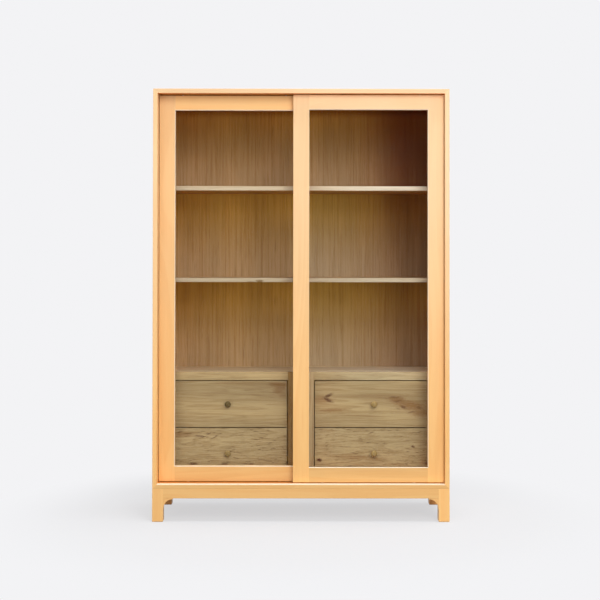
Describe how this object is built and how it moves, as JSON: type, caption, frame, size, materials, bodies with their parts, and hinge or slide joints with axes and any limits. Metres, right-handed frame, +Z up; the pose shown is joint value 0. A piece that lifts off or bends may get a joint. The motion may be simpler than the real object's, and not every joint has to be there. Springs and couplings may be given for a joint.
{
  "type": "display cabinet",
  "caption": "Tall wooden display cabinet with sliding glass doors over open shelves and a bank of small-knobbed drawers, on a low bracketed base.",
  "frame": {"origin": "on the floor, under the middle of the cabinet", "axes": "+X to the viewer's right, +Y to the back, +Z up"},
  "size_m": [1.2, 0.4, 1.75],
  "materials": {
    "exterior_wood": "smooth satin lacquer",
    "interior_veneer": "satin oak veneer",
    "oak_fronts": "satin oak",
    "shelf_oak": "satin oak",
    "knob_oak": "turned and oiled oak",
    "clear_glass": "clear float glass",
    "track_metal": "powder coated orange brown, darker than the case",
    "pin_steel": "zinc plated",
    "wheel_nylon": "moulded nylon"
  },
  "bodies": {
    "root": {"left_side_panel": "exterior_wood", "right_side_panel": "exterior_wood", "top_panel": "exterior_wood", "bottom_panel": "exterior_wood", "back_panel": "interior_veneer", "bottom_track": "track_metal", "top_track": "track_metal", "upper_shelf": "shelf_oak", "lower_shelf": "shelf_oak", "shelf_pins": "pin_steel", "drawer_deck": "shelf_oak", "centre_post": "oak_fronts", "face_frame_stiles": "oak_fronts", "deck_rails": "oak_fronts", "centre_partitions": "interior_veneer", "drawer_runners": "interior_veneer", "front_left_leg": "exterior_wood", "front_right_leg": "exterior_wood", "rear_left_leg": "exterior_wood", "rear_right_leg": "exterior_wood", "front_apron": "exterior_wood", "rear_apron": "exterior_wood", "side_aprons": "exterior_wood", "corner_brackets": "exterior_wood"},
    "upper_left_drawer": {"upper_left_drawer_front": "oak_fronts", "upper_left_drawer_box": "interior_veneer", "upper_left_drawer_bottom": "interior_veneer", "upper_left_drawer_knob": "knob_oak"},
    "upper_right_drawer": {"upper_right_drawer_front": "oak_fronts", "upper_right_drawer_box": "interior_veneer", "upper_right_drawer_bottom": "interior_veneer", "upper_right_drawer_knob": "knob_oak"},
    "lower_left_drawer": {"lower_left_drawer_front": "oak_fronts", "lower_left_drawer_box": "interior_veneer", "lower_left_drawer_bottom": "interior_veneer", "lower_left_drawer_knob": "knob_oak"},
    "lower_right_drawer": {"lower_right_drawer_front": "oak_fronts", "lower_right_drawer_box": "interior_veneer", "lower_right_drawer_bottom": "interior_veneer", "lower_right_drawer_knob": "knob_oak"},
    "left_door": {"left_door_left_stile": "exterior_wood", "left_door_right_stile": "exterior_wood", "left_door_top_rail": "exterior_wood", "left_door_bottom_rail": "exterior_wood", "left_door_glass": "clear_glass", "left_door_glazing_beads": "exterior_wood", "left_door_roller_housings": "pin_steel", "left_door_guide_pins": "pin_steel"},
    "left_door_left_wheel": {"left_door_left_wheel": "wheel_nylon"},
    "left_door_right_wheel": {"left_door_right_wheel": "wheel_nylon"},
    "right_door": {"right_door_left_stile": "exterior_wood", "right_door_right_stile": "exterior_wood", "right_door_top_rail": "exterior_wood", "right_door_bottom_rail": "exterior_wood", "right_door_glass": "clear_glass", "right_door_glazing_beads": "exterior_wood", "right_door_roller_housings": "pin_steel", "right_door_guide_pins": "pin_steel"},
    "right_door_left_wheel": {"right_door_left_wheel": "wheel_nylon"},
    "right_door_right_wheel": {"right_door_right_wheel": "wheel_nylon"}
  },
  "joints": [
    {"name": "left_door_slide", "type": "slide", "parent": "root", "child": "left_door", "axis": [1, 0, 0], "range_m": [0, 0.548]},
    {"name": "left_door_left_wheel_spin", "type": "hinge", "parent": "left_door", "child": "left_door_left_wheel", "pos_m": [-0.46, -0.126, 0.1581], "axis": [0, 1, 0], "range_deg": [0, 3500]},
    {"name": "left_door_right_wheel_spin", "type": "hinge", "parent": "left_door", "child": "left_door_right_wheel", "pos_m": [-0.0875, -0.126, 0.1581], "axis": [0, 1, 0], "range_deg": [0, 3500]},
    {"name": "right_door_slide", "type": "slide", "parent": "root", "child": "right_door", "axis": [-1, 0, 0], "range_m": [0, 0.548]},
    {"name": "right_door_left_wheel_spin", "type": "hinge", "parent": "right_door", "child": "right_door_left_wheel", "pos_m": [0.0875, -0.158, 0.1581], "axis": [0, -1, 0], "range_deg": [0, 3500]},
    {"name": "right_door_right_wheel_spin", "type": "hinge", "parent": "right_door", "child": "right_door_right_wheel", "pos_m": [0.46, -0.158, 0.1581], "axis": [0, -1, 0], "range_deg": [0, 3500]},
    {"name": "upper_left_drawer_slide", "type": "slide", "parent": "root", "child": "upper_left_drawer", "axis": [0, -1, 0], "range_m": [0, 0.018]},
    {"name": "upper_right_drawer_slide", "type": "slide", "parent": "root", "child": "upper_right_drawer", "axis": [0, -1, 0], "range_m": [0, 0.018]},
    {"name": "lower_left_drawer_slide", "type": "slide", "parent": "root", "child": "lower_left_drawer", "axis": [0, -1, 0], "range_m": [0, 0.018]},
    {"name": "lower_right_drawer_slide", "type": "slide", "parent": "root", "child": "lower_right_drawer", "axis": [0, -1, 0], "range_m": [0, 0.018]}
  ],
  "couplings": [
    {"joint": "left_door_left_wheel_spin", "follows": "left_door_slide", "rad_per_m": 111.11},
    {"joint": "left_door_right_wheel_spin", "follows": "left_door_slide", "rad_per_m": 111.11},
    {"joint": "right_door_left_wheel_spin", "follows": "right_door_slide", "rad_per_m": 111.11},
    {"joint": "right_door_right_wheel_spin", "follows": "right_door_slide", "rad_per_m": 111.11}
  ]
}
